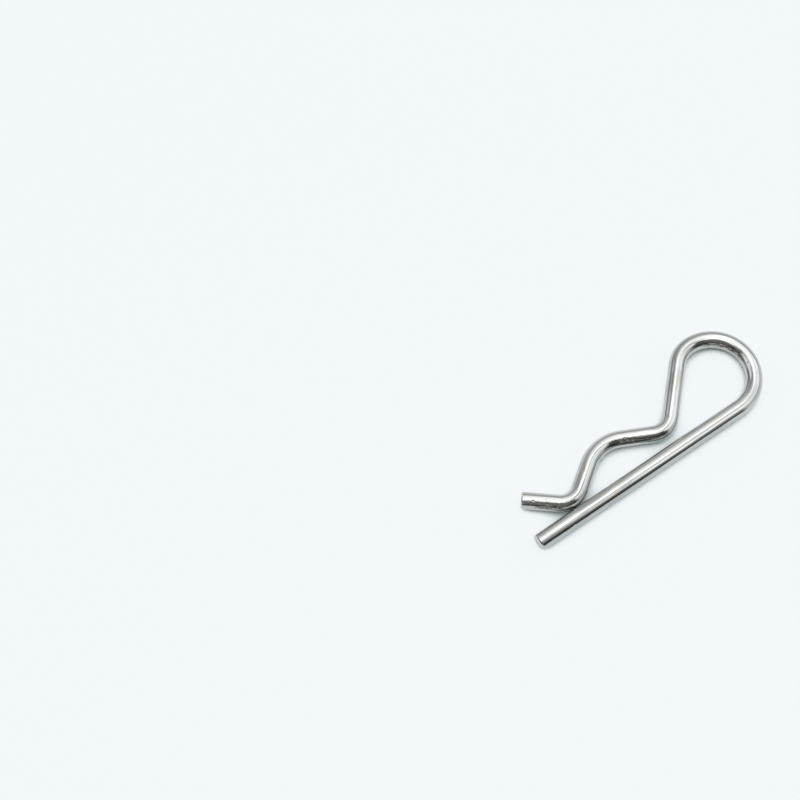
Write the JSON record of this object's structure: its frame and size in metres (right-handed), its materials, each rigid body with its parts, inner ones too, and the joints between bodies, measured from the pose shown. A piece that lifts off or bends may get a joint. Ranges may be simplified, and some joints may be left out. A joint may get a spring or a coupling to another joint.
{
  "type": "hitch r clip",
  "caption": "Hitch R clip of bent round spring wire: a straight leg for the cross hole of a shaft, a wide spring eye and a waved leg that grips the shaft from outside.",
  "frame": {"origin": "centre of the shaft that the clip locks, on the axis of the straight leg", "axes": "+X along the straight leg towards the eye, +Y towards the waved leg, +Z along the shaft, square to the plane the wire is bent in"},
  "size_m": [0.0695, 0.0232, 0.004],
  "materials": {
    "bright_wire": "bright drawn spring wire with a thin zinc coat, fine draw lines along it, square cropped ends"
  },
  "bodies": {
    "root": {"r_clip": "bright_wire"}
  },
  "joints": []
}
